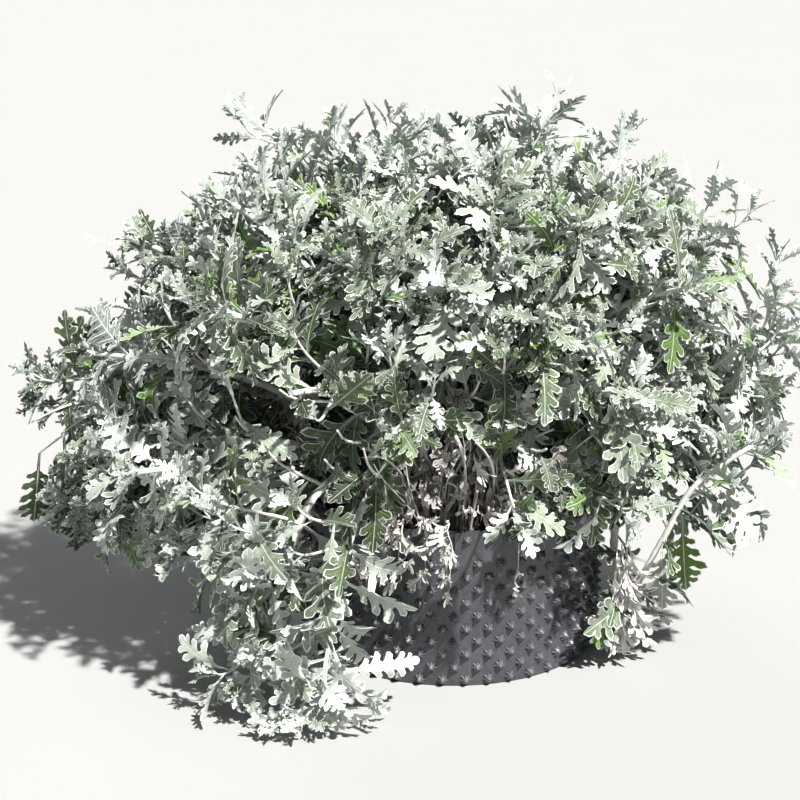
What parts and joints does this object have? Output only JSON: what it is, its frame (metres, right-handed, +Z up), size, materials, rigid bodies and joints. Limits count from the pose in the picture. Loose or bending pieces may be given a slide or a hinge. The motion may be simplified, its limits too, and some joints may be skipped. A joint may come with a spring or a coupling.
{
  "type": "potted dusty miller",
  "caption": "Bushy silver-leaved dusty miller with felted lobed leaves, growing in a round studded black nursery pot filled with soil, some stems trailing over the rim.",
  "frame": {"origin": "centre of the pot's base, on the surface that the pot stands on", "axes": "+Z up along the pot's axis; +X to the right and -Y towards the viewer of the plant's front, where two stems trail over the rim on the left"},
  "size_m": [1.0252, 0.8143, 0.7128],
  "materials": {
    "pot": "matte",
    "soil": "matte",
    "foliage": "matte"
  },
  "bodies": {
    "root": {"pot_wall": "pot", "pot_base": "pot", "soil": "soil", "leafy_stem_01": "foliage", "leafy_stem_02": "foliage", "leafy_stem_03": "foliage", "leafy_stem_04": "foliage", "leafy_stem_05": "foliage", "leafy_stem_06": "foliage", "leafy_stem_07": "foliage", "leafy_stem_08": "foliage", "leafy_stem_09": "foliage", "leafy_stem_10": "foliage", "leafy_stem_11": "foliage", "leafy_stem_12": "foliage", "leafy_stem_13": "foliage", "leafy_stem_14": "foliage", "leafy_stem_15": "foliage", "leafy_stem_16": "foliage", "leafy_stem_17": "foliage", "leafy_stem_18": "foliage", "leafy_stem_19": "foliage", "leafy_stem_20": "foliage", "leafy_stem_21": "foliage", "leafy_stem_22": "foliage", "leafy_stem_23": "foliage", "leafy_stem_24": "foliage", "leafy_stem_25": "foliage", "leafy_stem_26": "foliage", "leafy_stem_27": "foliage", "leafy_stem_28": "foliage", "leafy_stem_29": "foliage", "leafy_stem_30": "foliage", "leafy_stem_31": "foliage", "leafy_stem_32": "foliage", "trailing_stem_left": "foliage", "trailing_stem_front": "foliage", "sprawling_stem_right": "foliage"}
  },
  "joints": []
}
